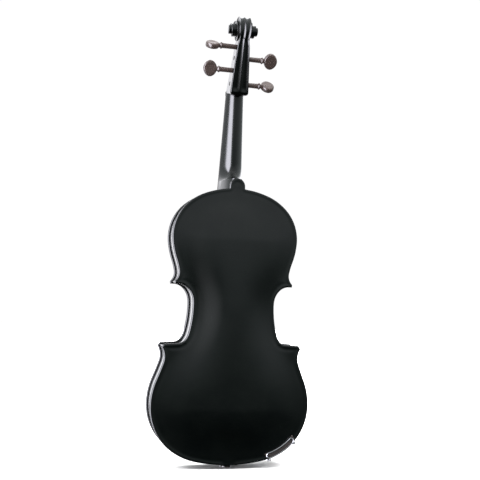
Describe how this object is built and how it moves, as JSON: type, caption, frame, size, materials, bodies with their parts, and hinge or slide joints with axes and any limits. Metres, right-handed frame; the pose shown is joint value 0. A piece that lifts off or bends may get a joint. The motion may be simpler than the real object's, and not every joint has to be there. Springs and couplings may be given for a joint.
{
  "type": "violin",
  "caption": "Full-size acoustic violin in gloss black lacquer, with rosewood-coloured pegs, tailpiece with fine tuners, and a side chin rest held by a chrome clamp.",
  "frame": {"origin": "centre of the end button's end face, on the violin's middle plane, half way through the depth of the ribs", "axes": "+Z runs along the violin from the end button to the scroll; +Y points out of the back plate; -Y out of the belly; +X is the treble side"},
  "size_m": [0.2106, 0.1024, 0.5882],
  "materials": {
    "black_lacquer": "gloss black lacquer over maple and spruce",
    "inner_wood": "bare planed spruce and willow",
    "ebony": "oiled ebony, satin",
    "rosewood": "polished rosewood",
    "rosewood_end": "polished dark hardwood",
    "bridge_maple": "bare maple",
    "string_steel": "wound steel",
    "winding_silk": "silk lapping",
    "tailpiece_composite": "gloss black",
    "chrome": "polished plate",
    "nylon": "black nylon cord",
    "cork": "dark cork"
  },
  "bodies": {
    "violin": {"back_linings": "inner_wood", "back_plate": "black_lacquer", "bass_bar": "inner_wood", "belly_linings": "inner_wood", "belly_plate": "black_lacquer", "bridge": "bridge_maple", "chin_rest": "tailpiece_composite", "chin_rest_screws": "chrome", "clamp_bracket_back": "chrome", "clamp_bracket_belly": "chrome", "clamp_corks": "cork", "corner_block_lower_bass": "inner_wood", "corner_block_lower_treble": "inner_wood", "corner_block_upper_bass": "inner_wood", "corner_block_upper_treble": "inner_wood", "end_block": "inner_wood", "end_button": "rosewood_end", "fingerboard": "ebony", "neck": "black_lacquer", "neck_block": "inner_wood", "nut": "ebony", "rib_lower_bass": "black_lacquer", "rib_lower_treble": "black_lacquer", "rib_middle_bass": "black_lacquer", "rib_middle_treble": "black_lacquer", "rib_upper_bass": "black_lacquer", "rib_upper_treble": "black_lacquer", "saddle": "ebony", "sound_post": "inner_wood", "string_a": "string_steel", "string_d": "string_steel", "string_e": "string_steel", "string_g": "string_steel", "tail_gut": "nylon", "tailpiece": "tailpiece_composite", "tailpiece_fret": "chrome", "tuner_pin": "chrome"},
    "peg_body_g": {"peg_g": "rosewood", "winding_g": "winding_silk"},
    "peg_body_d": {"peg_d": "rosewood", "winding_d": "winding_silk"},
    "peg_body_a": {"peg_a": "rosewood", "winding_a": "winding_silk"},
    "peg_body_e": {"peg_e": "rosewood", "winding_e": "winding_silk"},
    "tuner_screw_body_g": {"tuner_screw_g": "chrome"},
    "tuner_screw_body_d": {"tuner_screw_d": "chrome"},
    "tuner_screw_body_a": {"tuner_screw_a": "chrome"},
    "tuner_screw_body_e": {"tuner_screw_e": "chrome"},
    "tuner_lever_body_g": {"tuner_lever_g": "chrome"},
    "tuner_lever_body_d": {"tuner_lever_d": "chrome"},
    "tuner_lever_body_a": {"tuner_lever_a": "chrome"},
    "tuner_lever_body_e": {"tuner_lever_e": "chrome"},
    "barrel_near": {"clamp_barrel_near": "chrome"},
    "barrel_far": {"clamp_barrel_far": "chrome"}
  },
  "joints": [
    {"name": "peg_turn_g", "type": "hinge", "parent": "violin", "child": "peg_body_g", "pos_m": [0, 0.00312, 0.50294], "axis": [1, 0, 0], "range_deg": [-360, 90]},
    {"name": "peg_turn_d", "type": "hinge", "parent": "violin", "child": "peg_body_d", "pos_m": [0, 0.01421, 0.53481], "axis": [1, 0, 0], "range_deg": [-360, 90]},
    {"name": "peg_turn_a", "type": "hinge", "parent": "violin", "child": "peg_body_a", "pos_m": [0, 0.0189, 0.5483], "axis": [1, 0, 0], "range_deg": [-360, 90]},
    {"name": "peg_turn_e", "type": "hinge", "parent": "violin", "child": "peg_body_e", "pos_m": [0, 0.00889, 0.51952], "axis": [1, 0, 0], "range_deg": [-360, 90]},
    {"name": "tuner_screw_travel_g", "type": "slide", "parent": "violin", "child": "tuner_screw_body_g", "axis": [0, -1, 0], "range_m": [0, 0.003]},
    {"name": "tuner_lever_tilt_g", "type": "hinge", "parent": "violin", "child": "tuner_lever_body_g", "pos_m": [-0.012, -0.04167, 0.1047], "axis": [-1, 0, 0], "range_deg": [0, 11]},
    {"name": "tuner_screw_travel_d", "type": "slide", "parent": "violin", "child": "tuner_screw_body_d", "axis": [0, -1, 0], "range_m": [0, 0.003]},
    {"name": "tuner_lever_tilt_d", "type": "hinge", "parent": "violin", "child": "tuner_lever_body_d", "pos_m": [-0.004, -0.04167, 0.1047], "axis": [-1, 0, 0], "range_deg": [0, 11]},
    {"name": "tuner_screw_travel_a", "type": "slide", "parent": "violin", "child": "tuner_screw_body_a", "axis": [0, -1, 0], "range_m": [0, 0.003]},
    {"name": "tuner_lever_tilt_a", "type": "hinge", "parent": "violin", "child": "tuner_lever_body_a", "pos_m": [0.004, -0.04167, 0.1047], "axis": [-1, 0, 0], "range_deg": [0, 11]},
    {"name": "tuner_screw_travel_e", "type": "slide", "parent": "violin", "child": "tuner_screw_body_e", "axis": [0, -1, 0], "range_m": [0, 0.003]},
    {"name": "tuner_lever_tilt_e", "type": "hinge", "parent": "violin", "child": "tuner_lever_body_e", "pos_m": [0.012, -0.04167, 0.1047], "axis": [-1, 0, 0], "range_deg": [0, 11]},
    {"name": "barrel_turn_near", "type": "hinge", "parent": "violin", "child": "barrel_near", "pos_m": [-0.0545, 0, 0.01039], "axis": [0, 1, 0], "continuous": true},
    {"name": "barrel_turn_far", "type": "hinge", "parent": "violin", "child": "barrel_far", "pos_m": [-0.08812, 0, 0.0318], "axis": [0, 1, 0], "continuous": true}
  ],
  "couplings": [
    {"joint": "tuner_lever_tilt_g", "follows": "tuner_screw_travel_g", "rad_per_m": 60},
    {"joint": "tuner_lever_tilt_d", "follows": "tuner_screw_travel_d", "rad_per_m": 60},
    {"joint": "tuner_lever_tilt_a", "follows": "tuner_screw_travel_a", "rad_per_m": 60},
    {"joint": "tuner_lever_tilt_e", "follows": "tuner_screw_travel_e", "rad_per_m": 60}
  ]
}
